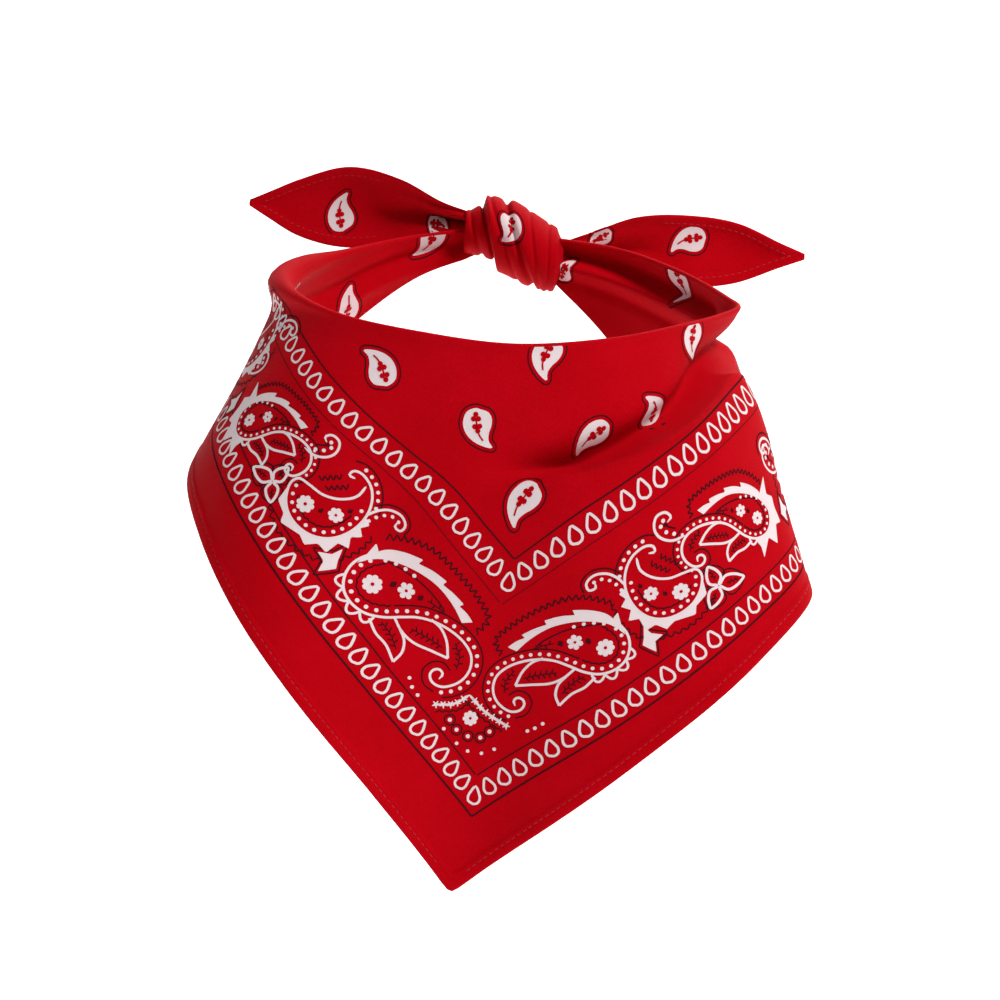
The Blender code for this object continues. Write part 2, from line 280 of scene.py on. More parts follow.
# ---------------------------------------------------------------- finishes
class Measure:
    """A number that changes over a surface; sums and products of it become Math nodes."""

    def __init__(self, finish, socket):
        self.finish, self.socket = finish, socket

    def maths(self, operation, *others):
        inputs = dict(enumerate((self, *others)))
        return Measure(self.finish, self.finish.add("ShaderNodeMath", {"operation": operation}, inputs))

    def __add__(self, other):
        return self.maths("ADD", other)

    def __mul__(self, other):
        return self.maths("MULTIPLY", other)

    def __sub__(self, other):
        return self.maths("SUBTRACT", other)

    def __rsub__(self, other):
        return (self * -1.0) + other

    def sine(self):
        return self.maths("SINE")

    def clamped(self):
        return self.maths("MINIMUM", 1.0).maths("MAXIMUM", 0.0)

    __radd__ = __add__
    __rmul__ = __mul__


class Finish:
    """One material and its nodes."""

    def __init__(self, name):
        self.material = bpy.data.materials.new(name)
        self.material.use_nodes = True
        self.tree = self.material.node_tree
        self.shader = self.tree.nodes["Principled BSDF"]

    def add(self, kind, settings, inputs, output=0):
        node = self.tree.nodes.new(kind)
        for key, value in settings.items():
            setattr(node, key, value)
        for key, value in inputs.items():
            value = value.socket if isinstance(value, Measure) else value
            if isinstance(value, bpy.types.NodeSocket):
                self.tree.links.new(value, node.inputs[key])
            else:
                node.inputs[key].default_value = value
        return node.outputs[output]

    def measure(self, kind, settings, inputs, output=0):
        return Measure(self, self.add(kind, settings, inputs, output))

    def threads(self):
        """Places on the flat cloth, and how far they are along the two ways of the weave."""
        flat = self.add("ShaderNodeUVMap", {"uv_map": "weave"}, {})
        apart = self.add("ShaderNodeSeparateXYZ", {}, {0: flat})
        return flat, Measure(self, apart), Measure(self, apart.node.outputs[1])

    def noise(self, place, scale, detail=2.0, stretch=(1.0, 1.0, 1.0)):
        stretched = self.add(
            "ShaderNodeVectorMath", {"operation": "MULTIPLY"}, {0: place, 1: stretch}
        )
        inputs = {"Vector": stretched, "Scale": scale, "Detail": detail, "Roughness": 0.55}
        return self.measure("ShaderNodeTexNoise", {"noise_dimensions": "3D"}, inputs)

    def blend(self, share, one, two):
        settings = {"data_type": "RGBA", "blend_type": "MIX"}
        return self.add("ShaderNodeMix", settings, {0: share, 6: one, 7: two}, 2)

    def set(self, **values):
        for key, value in values.items():
            name = key.replace("_", " ").title().replace("Ior", "IOR")
            value = value.socket if isinstance(value, Measure) else value
            if isinstance(value, bpy.types.NodeSocket):
                self.tree.links.new(value, self.shader.inputs[name])
            else:
                self.shader.inputs[name].default_value = value

    def raise_by(self, height, strength, distance):
        inputs = {"Height": height, "Strength": strength, "Distance": distance}
        self.set(normal=self.add("ShaderNodeBump", {}, inputs))


RED = (0.52, 0.0006, 0.0060, 1.0)
# deeper red, used both for the dye's uneven tone and for painted shade between the threads
RED_DEEP_AND_SHADED = (0.36, 0.0004, 0.0035, 1.0)
RED_WORN = (0.57, 0.0020, 0.0110, 1.0)
WHITE_INK = (0.72, 0.67, 0.67, 1.0)
WHITE_SPECK = (0.70, 0.34, 0.40, 1.0)
DARK_INK = (0.030, 0.003, 0.005, 1.0)
DARK_SPECK = (0.10, 0.003, 0.007, 1.0)
THREAD_PITCH = 0.42  # between the threads of the weave
UV_UNIT = 100.0  # millimetres to one unit of the weave map
SLUB_SCALE, SLUB_LONG = 60.0, 14.0  # how fine the slubs are, and how much longer than wide
# painted shade and painted highlight for the twist of the sewing thread: one red, shaded and lit
THREAD_SHADED = (0.26, 0.001, 0.004, 1)
THREAD_LIT = (0.48, 0.001, 0.007, 1)
THREAD_TWIST = 0.5  # length of one twist of the sewing thread


def weave(finish):
    """The height of a plain weave, and slubs that run with its threads."""
    place, one_way, other_way = finish.threads()
    turns = 2 * math.pi * UV_UNIT / (2 * THREAD_PITCH)
    over = (one_way * turns).sine() * (other_way * turns).sine()
    lattice = over * 0.5 + 0.5
    one_slub, other_slub = (
        finish.noise(place, SLUB_SCALE, 2.0, way)
        for way in ((1.0, SLUB_LONG, 1.0), (SLUB_LONG, 1.0, 1.0))
    )
    return place, lattice, (one_slub + other_slub) * 0.5


def cotton(name, base=RED, deep=RED_DEEP_AND_SHADED, worn=RED_WORN):
    finish = Finish(name)
    place, lattice, slubs = weave(finish)
    clouds = finish.noise(place, 3.0, 3.0)
    # Partly painted shade: the red deepens where the weave sits low between the threads; the slubs and
    # clouds add the dye's own uneven tone
    body = finish.blend((lattice * 0.35 + slubs * 0.5 + clouds * 0.45 - 0.2).clamped(), deep, base)
    rubbed = ((clouds + slubs - 0.98) * 2.0).clamped()
    finish.set(base_color=finish.blend(rubbed * 0.5, body, worn))
    finish.set(roughness=0.62 + 0.2 * slubs, specular_ior_level=0.12, specular_tint=(1.0, 0.03, 0.06, 1.0))
    finish.set(sheen_weight=0.02, sheen_roughness=0.4, sheen_tint=(1.0, 0.02, 0.06, 1.0))
    finish.raise_by(lattice * 0.6 + slubs * 1.4, 0.6, 0.00022)
    return finish.material


def ink(name, body, speck, amount):
    """Printed colour, sunk in the weave so the red shows in specks between the threads."""
    finish = Finish(name)
    place, lattice, slubs = weave(finish)
    bare = ((slubs * 1.2 - lattice * 0.5 + 0.1) * amount).clamped()
    finish.set(base_color=finish.blend(bare, body, speck))
    finish.set(roughness=0.66 + 0.14 * lattice, specular_ior_level=0.04)
    finish.raise_by(lattice * 0.6 + slubs * 0.9, 0.3, 0.00010)
    return finish.material


def thread(name):
    finish = Finish(name)
    _, one_way, other_way = finish.threads()
    twist = (one_way * (2 * math.pi * UV_UNIT / THREAD_TWIST) + other_way * 60.0).sine() * 0.5 + 0.5
    # Painted light: each twist of the thread runs from a painted shaded side to a painted lit side of the
    # same red
    finish.set(base_color=finish.blend(twist, THREAD_SHADED, THREAD_LIT))
    finish.set(roughness=0.6 + 0.1 * twist)
    finish.raise_by(twist, 0.4, 0.0001)
    return finish.material


# ---------------------------------------------------------------- meshes
def make(name, vertices, faces, material, flat):
    """A mesh in metres from points in millimetres, with its places on the flat cloth."""
    mesh = bpy.data.meshes.new(name)
    mesh.from_pydata((np.asarray(vertices, float) * MM).tolist(), [], faces)
    mesh.update()
    mesh.shade_smooth()
    mesh.materials.append(material)
    piece = bpy.data.objects.new(name, mesh)
    bpy.context.scene.collection.objects.link(piece)
    layer = mesh.uv_layers.new(name="weave")
    corner = np.empty(len(mesh.loops), dtype=np.int32)
    mesh.loops.foreach_get("vertex_index", corner)
    places = np.asarray(flat, float)[corner] / UV_UNIT
    layer.data.foreach_set("uv", places.astype(np.float32).ravel())
    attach(piece, "root")
    return piece


def ring_faces(count, around, first=0):
    """Quads between a row of closed rings."""
    low = np.arange(count - 1)[:, None] * around + np.arange(around) + first
    high = np.arange(count - 1)[:, None] * around + (np.arange(around) + 1) % around + first
    quads = np.stack([low, high, high + around, low + around], -1).reshape(-1, 4)
    return quads.tolist()


def end_faces(count, around):
    first = [list(range(around))[::-1]]
    last = [[(count - 1) * around + j for j in range(around)]]
    return first + last


def stitches(name, path, up, material, flat):
    """A row of small raised stitches along a path, with the side that they stand on."""
    travelled = lengths(path)
    pitch = STITCH_LONG + STITCH_GAP
    vertices, faces, places = [], [], []
    turn = np.linspace(0, 2 * math.pi, 6, endpoint=False)
    for start in np.arange(1.0, travelled[-1] - pitch, pitch):
        at = start + STITCH_LONG * np.array([0.0, 0.12, 0.5, 0.88, 1.0])
        fat = STITCH_THICK / 2 * np.array([0.25, 0.8, 1.0, 0.8, 0.25])
        sunk = STITCH_THICK * np.array([-0.6, -0.1, 0.15, -0.1, -0.6])
        middle, rise, place = (read_rows(at, travelled, rows) for rows in (path, up, flat))
        side = unit(np.cross(np.gradient(middle, axis=0), rise))
        rings = (middle + rise * sunk[:, None])[:, None] + fat[:, None, None] * (
            np.cos(turn)[None, :, None] * side[:, None] + np.sin(turn)[None, :, None] * rise[:, None]
        )
        first = len(vertices) * 30
        faces += [[v + first for v in face] for face in ring_faces(5, 6) + end_faces(5, 6)]
        vertices.append(rings.reshape(-1, 3))
        places.append(np.repeat(place, 6, axis=0))
    return make(name, np.vstack(vertices), faces, material, np.vstack(places))


def on_the_bias(flat):
    """Places on the flat cloth measured along its threads, which run across the fold at 45 degrees."""
    return np.stack([flat[..., 0] + flat[..., 1], flat[..., 1] - flat[..., 0]], -1) / math.sqrt(2)


# ---------------------------------------------------------------- the draped cloth
def cloth_rows(drape, along):
    """Distances down each fall line: even rows, then close rows over the hem."""
    hem = drape.hem(along)
    slant = math.sqrt(2)
    close = np.array(HEM_ROWS) * slant
    close = np.minimum(close[None], hem[:, None] * np.linspace(0.5, 0, len(HEM_ROWS))[None])
    body = (hem[:, None] - close[:, :1]) * np.linspace(0, 1, ROWS)[None, :-1]
    return np.concatenate([body, hem[:, None] - close], 1)


def draped_cloth(drape, material):
    count = round((drape.last - drape.first) / CELL) + 1
    along = np.linspace(drape.first, drape.last, count)
    along[np.argmin(abs(along - POINT_ALONG))] = POINT_ALONG
    down = cloth_rows(drape, along)
    across = np.broadcast_to(along[:, None], down.shape)
    grid, normal = drape.point(across, down), drape.normal(across, down)
    half = drape.half(across, down)
    inside = smooth_step((along - HEM_FROM) / 6) * smooth_step((HEM_TO - along) / 6)
    half[:, -len(HEM_ROWS) :] += inside[:, None] * HEM_EXTRA * np.array(HEM_RISE)
    outer, inner = grid + normal * half[..., None], grid - normal * half[..., None]
    up = unit(grid[:, 0] - grid[:, 1])
    caps = []
    for turn in np.radians((160, 135, 110, 90, 70, 45, 20)):
        caps.append(grid[:, 0] + (normal[:, 0] * math.cos(turn) + up * math.sin(turn)) * half[:, :1])
    rings = np.concatenate([outer, inner[:, ::-1], np.stack(caps, 1)], 1)
    flat = np.stack(drape.flat(across, down), -1)
    edge = np.repeat(flat[:, :1], len(caps), axis=1)
    flat = np.concatenate([flat, flat[:, ::-1], edge], 1)
    around = rings.shape[1]
    faces = ring_faces(count, around) + end_faces(count, around)
    places = on_the_bias(flat).reshape(-1, 2)
    piece = make("draped_cloth", rings.reshape(-1, 3), faces, material, places)
    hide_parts("front_drape", "neck_band_left", "neck_band_right")
    return piece


def hem_stitches(drape, name, start, end, face, material):
    along = np.arange(start, end, 1.0)
    down = drape.hem(along) - STITCH_IN * math.sqrt(2)
    normal = drape.normal(along, down) * face
    path = drape.point(along, down) + normal * (drape.half(along, down) + HEM_EXTRA * 0.5)[:, None]
    return stitches(name, path, normal, material, np.stack(drape.flat(along, down), 1))


# ---------------------------------------------------------------- the print
INKS = ("dark", "white", "red")  # in the order in which they are laid
OUTLINE_STEP = 0.9  # between the points round a filled shape


class Print:
    """Flat shapes in three inks, kept as places on the flat square until they are laid on cloth."""

    def __init__(self, gap=1.4):
        self.gap = gap  # between the points inside a filled shape
        self.points = {colour: [] for colour in INKS}
        self.faces = {colour: [] for colour in INKS}
        self.counts = dict.fromkeys(INKS, 0)

    def put(self, colour, points, faces):
        first = self.counts[colour]
        self.points[colour].append(np.asarray(points, float))
        self.faces[colour] += [[v + first for v in face] for face in faces]
        self.counts[colour] += len(points)

    def stroke(self, colour, line, width=None, taper=0.0, closed=False, step=0.8):
        line = even(line, step, closed)
        side = left_of(line, closed)
        half = np.full(len(line), (width or LINE_WIDTHS[colour]) / 2)
        if taper and not closed:
            at = lengths(line)
            half *= 0.35 + 0.65 * smooth_step(np.minimum(at, at[-1] - at) / taper)
        count = len(line)
        points = np.concatenate([line + side * half[:, None], line - side * half[:, None]])
        last = count if closed else count - 1
        faces = [[i, i + count, (i + 1) % count + count, (i + 1) % count] for i in range(last)]
        self.put(colour, points, faces)

    def dot(self, colour, centre, radius, sides=9):
        turn = np.linspace(0, 2 * math.pi, sides, endpoint=False)
        points = np.asarray(centre) + radius * on_circle(turn)
        if radius < 0.9:
            self.put(colour, points, [list(range(sides))])
        else:
            points = np.vstack([points, [centre]])
            self.put(colour, points, [[i, (i + 1) % sides, sides] for i in range(sides)])

    def fill(self, colour, outline):
        loop = even(outline, OUTLINE_STEP, True)
        columns, rows = (np.arange(*ends, self.gap) for ends in zip(loop.min(0), loop.max(0)))
        inner = [(x, y) for x in columns for y in rows]
        points = np.concatenate([loop, np.array(inner).reshape(-1, 2)])
        edges = [(i, (i + 1) % len(loop)) for i in range(len(loop))]
        result = delaunay_2d_cdt([Vector(p) for p in points.tolist()], edges, [], 1, 1e-4)
        vertices = np.array([tuple(v) for v in result[0]])
        faces = [list(face) for face in result[2]]
        kept = within(np.array([vertices[face].mean(0) for face in faces]), loop)
        faces = [face for face, keep in zip(faces, kept) if keep]
        faces = [face if turns_left(vertices[face]) else face[::-1] for face in faces]
        self.put(colour, vertices, faces)


def even(line, step, closed=False):
    """The line with points an even step apart."""
    line = np.asarray(line, float)
    if closed:
        line = np.vstack([line, line[:1]])
    at = lengths(line)
    count = max(3, int(math.ceil(at[-1] / step))) + 1
    out = read_rows(np.linspace(0, at[-1], count), at, line)
    return out[:-1] if closed else out


def curve(points, closed=False, steps=8):
    points = np.asarray(points, float)
    if not closed:
        return through(points, steps)
    ring = np.vstack([points[-2:], points, points[:2]])
    return through(ring, steps)[2 * steps : -2 * steps - 1][: len(points) * steps]


def turns_left(points):
    x, y = points[:, 0], points[:, 1]
    return np.dot(x, np.roll(y, -1)) - np.dot(y, np.roll(x, -1)) > 0


def within(places, loop):
    inside = np.zeros(len(places), bool)
    for (x0, y0), (x1, y1) in zip(loop, np.roll(loop, -1, 0)):
        crosses = (y0 > places[:, 1]) != (y1 > places[:, 1])
        with np.errstate(divide="ignore", invalid="ignore"):
            at = x0 + (places[:, 1] - y0) * (x1 - x0) / (y1 - y0)
        inside ^= crosses & (places[:, 0] < at)
    return inside


def left_of(line, closed=False):
    """A unit step to the left at each point of the line."""
    ahead = np.roll(line, -1, 0) - np.roll(line, 1, 0) if closed else np.gradient(line, axis=0)
    side = np.stack([-ahead[:, 1], ahead[:, 0]], 1)
    return side / (np.linalg.norm(side, axis=1, keepdims=True) + 1e-9)


def beside(line, off, closed=False):
    """The line moved off to its left."""
    line = np.asarray(line, float)
    return line + off * left_of(line, closed)


def zigzag(line, pitch, deep):
    line = even(line, pitch / 2)
    swing = np.where(np.arange(len(line)) % 2 == 0, 1.0, -1.0) * deep / 2
    return line + left_of(line) * swing[:, None]


DROP = ((0, -3.0), (1.6, -2.5), (2.2, -0.8), (1.6, 1.1), (0, 3.5), (-1.6, 1.1), (-2.2, -0.8), (-1.6, -2.5))
LINE_WIDTHS = {"white": 0.85, "dark": 0.55}
FILM_LEVELS = (0.05, 0.11, 0.20)  # how far each ink stands off the cloth


def drop_shape(pr, centre, turn=0.0, size=1.0):
    loop = turned(curve(DROP, True, 5) * 0.92 * size, turn) + centre
    pr.stroke("white", loop, closed=True, step=0.75)


def flower(pr, centre, petals, radius, turn=0.2):
    for k in range(petals):
        a = turn + k * 2 * math.pi / petals
        at = np.asarray(centre) + 0.66 * radius * on_circle(a)
        pr.dot("white", at, radius * (0.34 if petals < 8 else 0.30), 8)
    pr.dot("white", centre, radius * 0.5, 10)
    pr.dot("red", centre, radius * 0.19, 7)


def diamond(pr, x, y, wide, high):
    pr.fill("dark", ((x, y + high), (x + wide, y), (x, y - high), (x - wide, y)))


def dots_along(pr, line, off, pitch, radius, skip=0.0, leave=0.0):
    line = beside(line, off)
    at = lengths(line)
    for place in read_rows(np.arange(skip, at[-1] - leave, pitch), at, line):
        pr.dot("white", place, radius)


def vein(pr, line, barb, pitch=1.1):
    """A thin dark stem with short barbs on both sides."""
    line = even(curve(line), pitch)
    pr.stroke("dark", line, 0.4, step=1.0)
    for k, (point, side) in enumerate(zip(line[1:-1], left_of(line)[1:-1])):
        way = np.array([side[1], -side[0]])
        swing = side if k % 2 else -side
        pr.stroke("dark", [point, point + barb * (swing + 0.5 * way)], 0.5, step=1.0)


class Placed:
    """A print seen from a motif: shapes drawn in its own frame land where the motif is."""

    def __init__(self, pr, run, rise, turn=0.0, size=1.0):
        self.pr, self.turn, self.size = pr, math.radians(turn), size
        self.at = np.array([run, rise], float)

    def move(self, points):
        return turned(np.asarray(points, float) * self.size, self.turn) + self.at

    def stroke(self, colour, line, width=None, **more):
        self.pr.stroke(colour, self.move(line), width, **more)

    def dot(self, colour, centre, radius, sides=9):
        self.pr.dot(colour, self.move([centre])[0], radius * self.size, sides)

    def fill(self, colour, outline):
        self.pr.fill(colour, self.move(outline))


# The large paisley, in its own frame: x along the cut edge, y in from it, from the curl's middle
PAISLEY_LINE = (
    (-1.2, -0.6), (-0.6, 1.4), (1.2, 1.6), (2.4, 0.0), (1.9, -2.0), (-0.6, -3.0), (-3.7, -1.6),
    (-5.6, 2.0), (-6.0, 6.0), (-4.5, 10.0), (-1.0, 13.0), (4.0, 13.7), (10.0, 12.4), (16.0, 9.3),
    (20.0, 5.6), (23.0, 1.0), (26.0, -4.0), (30.0, -8.0), (35.0, -9.8), (40.0, -9.2), (44.0, -6.0),
    (46.0, -1.5), (45.8, 3.5), (44.3, 8.0),
)
CREST_INSIDE = ((10.5, 17.0), (17, 18.0), (25, 17.6), (32, 15.0), (38, 11.0), (42.5, 6.5), (45.0, 1.5))
CREST_OUTSIDE = (
    ((45.8, 3.0), (44.4, 9.5), (40.5, 14.5), (35.3, 18.6)),
    ((35.0, 16.4), (30.5, 19.2), (25.0, 21.2)),
    ((25.0, 19.3), (20.5, 20.6), (15.4, 21.3)),
    ((15.8, 19.6), (12.5, 20.3), (8.5, 20.2)),
)
LEAF_ONE = (((3, 6), (8, 9), (13, 10), (17, 9)), ((3, 6), (8, 3), (14, -0.6), (19, -1.6), (24, -1)))
LEAF_TWO = (
    ((12, -9.5), (13, -5.5), (16, -2.6), (20, -1.6)),
    ((12, -9.5), (18, -8.4), (23, -9.0), (28, -8.0)),
)
LEAF_STEMS = (
    ((7, 6.6), (12, 4.6), (18, 1.5)),
    ((15, -6.4), (20, -5.2), (25, -5.4)),
    ((-2, 6.0), (1, 9.5), (6, 11.0)),
)


def paisley(pr):
    line = curve(PAISLEY_LINE, steps=6)
    pr.stroke("white", line, taper=1.5)
    teeth = [curve(row, steps=5) for row in CREST_OUTSIDE]
    pr.fill("white", np.vstack([curve(CREST_INSIDE, steps=6), *teeth]))
    pr.fill("white", ((45.4, -1.0), (46.0, 2.5), (47.8, 8.0), (45.0, 7.0), (44.6, 2.0)))
    tail = curve(PAISLEY_LINE[6:], steps=6)
    dots_along(pr, tail, 2.0, 3.35, 0.72, leave=3.0)
    over_head = curve(((44.4, 8.0), (41.5, 11.0), (37.0, 13.8), (31.5, 15.8)), steps=6)
    dots_along(pr, over_head, 2.6, 3.6, 0.72, skip=1.5)
    around = beside(tail, 3.9)
    pr.stroke("dark", around[: len(around) * 5 // 9])
    pr.stroke("dark", zigzag(around[len(around) * 5 // 9 :], 2.6, 0.5))
    pr.stroke("dark", curve(((41, 7.5), (36, 10.5), (29, 13.4), (21, 14.6), (17, 14.4))))
    for centre, petals, radius in (((29.5, 7.5), 6, 3.0), ((37.0, -0.8), 8, 3.5)):
        flower(pr, centre, petals, radius)
    diamond(pr, 33.5, 5.0, 1.2, 1.6)
    diamond(pr, 25.0, 10.2, 1.2, 1.4)
    vein(pr, ((15.5, 14.2), (19.5, 13.2), (23.0, 11.6)), 1.3, 1.6)
    for upper, lower in (LEAF_ONE, LEAF_TWO):
        pr.stroke("white", curve(upper))
        pr.stroke("white", curve(lower))
    for stem in LEAF_STEMS:
        vein(pr, stem, 1.5)
    for start in np.linspace(0, 3, 4):
        a = np.radians(222 + start * 25 + np.linspace(0, 25, 7))
        bump = np.sin(np.linspace(0, math.pi, 7)) * 2.6
        ring = np.array((35.5, 0.6)) + (10.6 + bump)[:, None] * on_circle(a)
        pr.stroke("white", curve(ring, steps=3), 0.8)
    guard = curve(((5, 19), (6, 25), (14, 26.5), (25, 26.0), (36, 23.5), (43, 18.5), (48, 12)))
    pr.stroke("dark", zigzag(guard, 2.5, 2.3), step=0.6)
    curl = curve(((-3.8, -4.6), (0.4, -5.6), (4.4, -3.2), (4.9, 1.0), (2.4, 4.0), (-1.0, 4.2)))
    pr.stroke("dark", curl)


FULL_CREST = (
    (51.6, 13.4), (49.0, 5.5), (52.4, 2.6), (51.0, -2.0), (50.4, -10.4),
    (46.5, -9.5), (41.6, -17.6), (38.0, -12.2), (30.2, -18.8), (31.5, -13.5),
)


def crested_paisley(pr):
    """The same paisley with its crest carried on round the head."""
    paisley(pr)
    inside = curve(PAISLEY_LINE[-7:][::-1], steps=5)
    pr.fill("white", np.vstack([FULL_CREST, inside[::-1]]))


CRESCENT_OUT = (
    (-1.6, 19.0), (0.4, 18.0), (0.9, 20.0), (-1.2, 21.8), (-6.0, 22.0), (-10.0, 20.0), (-13.5, 16.0),
    (-15.5, 11.0), (-16.0, 5.0), (-14.5, -0.5), (-11.0, -4.5), (-6.0, -6.7), (0.0, -6.8), (5.0, -4.5),
    (8.3, -0.5), (8.0, 2.5), (4.0, 4.5), (-1.0, 6.5), (-5.0, 10.5), (-7.0, 16.0), (-5.7, 20.5),
)
CRESCENT_TEETH = (
    ((-14.4, 14.2), (-17.6, 13.6)), ((-16.6, 10.6), (-19.6, 9.2)), ((-17.6, 6.0), (-20.6, 3.2)),
    ((-17.4, 1.4), (-18.2, -3.8)), ((-14.4, -4.2), (-12.6, -8.2)), ((-9.0, -7.6), (-2.0, -10.8)),
    ((0.0, -8.4), (5.4, -7.6)),
)


def crescent(pr):
    line = curve(CRESCENT_OUT, steps=6)
    pr.stroke("white", line, taper=1.2)
    body = curve(CRESCENT_OUT[6:15], steps=6)
    outline = [np.array(CRESCENT_TEETH, float).reshape(-1, 2), body[::-1]]
    pr.fill("white", np.vstack(outline))
    dots_along(pr, body, 2.1, 3.1, 0.68, skip=1.0)
    dots_along(pr, curve(CRESCENT_OUT[3:7], steps=6), -2.0, 2.9, 0.7)
    pr.stroke("dark", zigzag(beside(curve(CRESCENT_OUT[7:14], steps=6), 3.9), 2.4, 0.4))
    pr.stroke("dark", beside(curve(CRESCENT_OUT[2:7], steps=6), -3.6))
    flower(pr, (-9.0, 6.2), 7, 2.7)
    flower(pr, (-0.8, -0.4), 8, 3.3)
    diamond(pr, -5.3, 2.8, 1.0, 1.2)
    diamond(pr, -10.2, 11.0, 1.0, 1.2)
    for x0 in (-3.0, 1.0):
        pr.stroke("dark", zigzag([(x0, 15.5), (x0 + 3.4, 8.5)], 2.0, 2.0))
    guard = curve(((-21.5, 12), (-23, 5), (-21, -5), (-14, -10.5), (-3, -13), (7, -10.5)))
    pr.stroke("dark", zigzag(guard, 3.0, 1.6))
    side = (
        (-14.0, 14.5), (-14.5, 18.5), (-16.5, 22.5), (-20.5, 25.0),
        (-24.0, 24.2), (-24.6, 21.6), (-22.4, 20.8), (-21.6, 22.4),
    )
    pr.stroke("white", curve(side, steps=6), taper=1.2)
    dots_along(pr, curve(side[:5], steps=6), 2.0, 2.9, 0.66)
    pr.stroke("dark", beside(curve(side[1:6], steps=6), -1.8))


def curl(pr):
    line = (
        (3.0, -9.0), (-1.2, -7.4), (-3.8, -3.8), (-3.8, -0.4),
        (-1.4, 2.2), (1.7, 1.4), (2.4, -1.0), (0.6, -1.5),
    )
    pr.stroke("white", curve(line, steps=6), taper=2.0)
    dots_along(pr, curve(line[1:6], steps=6), -2.2, 2.8, 0.68)
    pr.stroke("dark", beside(curve(line[1:6], steps=6), -3.9))


def bird(pr):
    outline = (
        (-2.4, 1.0), (-0.6, 2.8), (2.0, 6.4), (2.2, 2.6),
        (5.0, -0.6), (1.6, -0.7), (-0.4, -4.0), (-1.6, -1.2),
    )
    pr.fill("white", outline)
    pr.stroke("dark", np.asarray(outline) * 1.42 + (-0.2, -0.2), closed=True)


def three_petals(pr):
    for tip, width in (((1.2, 9.2), 2.7), ((-8.0, -5.0), 2.6), ((11.0, -4.6), 2.8)):
        tip = np.array(tip)
        ahead = tip / np.linalg.norm(tip)
        side = np.array([-ahead[1], ahead[0]])
        long = np.linalg.norm(tip)
        shape = lambda k: curve([
            ahead * 0.3,
            ahead * long * 0.3 + side * k * width,
            ahead * long * 0.65 + side * k * width * 0.8,
            tip,
        ])
        for k in (1, -1):
            pr.stroke("white", shape(k), 0.95, taper=0.8)
            pr.stroke("dark", shape(k * 1.8) + ahead * 0.4)
        vein(pr, [ahead * long * 0.3, ahead * long * 0.5, ahead * long * 0.75], 0.9, 1.0)


def corner_posy(pr):
    """The flower in the corner, its starry chevron and its ringed dots."""
    flower(pr, (0, 0), 8, 2.8)
    arms = (((4.6, 6.8), (-1.5, 7.4), (-6.6, 11.0)), ((4.6, 6.8), (5.4, -1.0), (8.4, -9.5)))
    for arm in arms:
        line = even(curve(arm), 2.9)
        pr.stroke("white", line, 0.8, taper=1.0)
        for k, place in enumerate(line[1:]):
            for a in np.radians((20, 92, 164, 236, 308)):
                pr.stroke("white", [place, place + 1.35 * on_circle(a)], 0.7, taper=0.9, step=0.5)
            pr.dot("white", place, 0.7, 8)
        pr.stroke("dark", zigzag(beside(curve(arm), 2.4 if arm is arms[0] else -2.4), 2.4, 0.8))
    for x, y in ((-6.0, 3.8), (-6.2, -0.4), (-4.4, -4.6), (-1.2, -7.6), (2.6, -7.8)):
        pr.dot("white", (x, y), 0.75)
        ring = (x, y) + 1.9 * on_circle(np.linspace(0, 2 * math.pi, 13)[:-1])
        pr.stroke("dark", ring, closed=True)


FIELD_OUTLINE = (
    (0.2, -6.2), (3.6, -4.9), (5.0, -1.4), (4.4, 2.0), (2.2, 4.8), (-1.2, 6.8), (-4.6, 7.6),
    (-3.4, 5.2), (-3.6, 2.6), (-4.6, 0.0), (-4.8, -2.8), (-3.2, -5.2),
)


def field_paisley(pr):
    body = curve(FIELD_OUTLINE, True, 6)
    pr.fill("white", body)
    pr.stroke("dark", beside(body, -1.35, True), 0.5, closed=True)
    for x, y, start in ((0.5, -3.0, 30), (0.2, 0.6, 95)):
        for a in np.radians((start, start + 120, start + 240)):
            pr.dot("red", (x, y) + on_circle(a), 0.95, 8)
    pr.stroke("red", curve(((0.5, -3.0), (0.3, 0.2), (-0.3, 3.0), (-1.5, 5.0))), 0.6)


# Where the motifs lie on each side of the point: run and rise of their own frames
MOTIFS = (  # motif, right, left, turn, size
    (paisley, (58.3, 41.0), (65.0, 42.3), (-3.6, 1.5), (0.90, 1.0)),
    (bird, (103.3, 30.0), (114.3, 35.0), (0, 0), (0.95, 1.0)),
    (crescent, (121.7, 37.7), (135.3, 40.0), (0, 0), (0.93, 0.96)),
    (curl, (129.5, 61.0), (148.0, 58.5), (0, 0), (1.0, 1.0)),
    (three_petals, (131.5, 30.0), (147.0, 34.0), (0, 0), (0.88, 0.8)),
    (crested_paisley, (132.0, 42.0), (147.5, 41.5), (-8.0, -12.0), (0.73, 0.7)),
    (bird, (172.5, 30.0), (186.0, 29.0), (0, 0), (0.9, 0.9)),
    (curl, (178.5, 51.0), (193.0, 48.0), (0, 0), (1.0, 1.0)),
    (crescent, (196.0, 30.0), (210.0, 40.0), (-6, -8), (0.93, 0.93)),
)
# The print's lines run a little off the cut edges: rise of each line at these runs
LINE_COLUMNS = ("run", "outer", "second", "faint", "inner")
PRINT_LINES = {
    "right": (
        (20, 18.0, 29.4, 73.5, 82.4),
        (50, 16.6, 27.4, 73.0, 82.4),
        (90, 13.4, 23.4, 71.3, 82.0),
        (130, 11.7, 21.2, 67.6, 77.2),
        (160, 10.5, 19.8, 64.7, 74.0),
        (190, 10.5, 19.4, 61.6, 71.0),
        (235, 10.5, 19.4, 58.0, 67.5),
    ),
    "left": (
        (20, 22.3, 32.4, 74.5, 86.6),
        (50, 21.0, 31.5, 74.5, 86.6),
        (90, 20.5, 30.2, 73.6, 86.3),
        (115, 20.2, 29.9, 71.6, 84.2),
        (132, 19.8, 29.8, 67.8, 78.9),
        (154, 18.7, 29.6, 61.5, 72.8),
        (187, 17.5, 29.0, 55.8, 66.7),
        (235, 17.0, 28.0, 52.0, 62.0),
    ),
}
DROP_PITCH = 6.1

